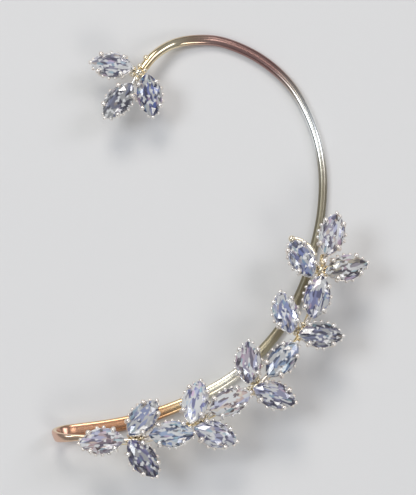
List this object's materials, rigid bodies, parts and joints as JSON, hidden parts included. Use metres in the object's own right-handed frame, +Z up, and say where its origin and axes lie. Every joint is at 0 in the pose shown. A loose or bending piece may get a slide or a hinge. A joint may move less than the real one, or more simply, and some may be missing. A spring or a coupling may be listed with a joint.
{
  "type": "ear cuff",
  "caption": "Wire ear cuff that hooks over the ear and folds under the lobe, with sprays of marquise stones in pronged baskets along its front rail.",
  "frame": {"origin": "middle of the bounding box at the height of the surface that the cuff lies on", "axes": "+Z up from the surface towards the stones' tables, +Y along the cuff's length from the lobe fold towards the arch, +X to the side that the front rail climbs"},
  "size_m": [0.0418, 0.0616, 0.0081],
  "materials": {
    "gold": "polished",
    "stone": "polished"
  },
  "bodies": {
    "root": {"cuff_frame": "gold", "stone_top_left": "stone", "stone_top_middle": "stone", "stone_top_right": "stone", "stone_one_lobe": "stone", "stone_one_left": "stone", "stone_one_middle": "stone", "stone_one_right": "stone", "stone_two_left": "stone", "stone_two_middle": "stone", "stone_two_right": "stone", "stone_three_left": "stone", "stone_three_middle": "stone", "stone_three_right": "stone", "stone_four_left": "stone", "stone_four_middle": "stone", "stone_four_right": "stone", "stone_five_left": "stone", "stone_five_middle": "stone", "stone_five_right": "stone"}
  },
  "joints": []
}
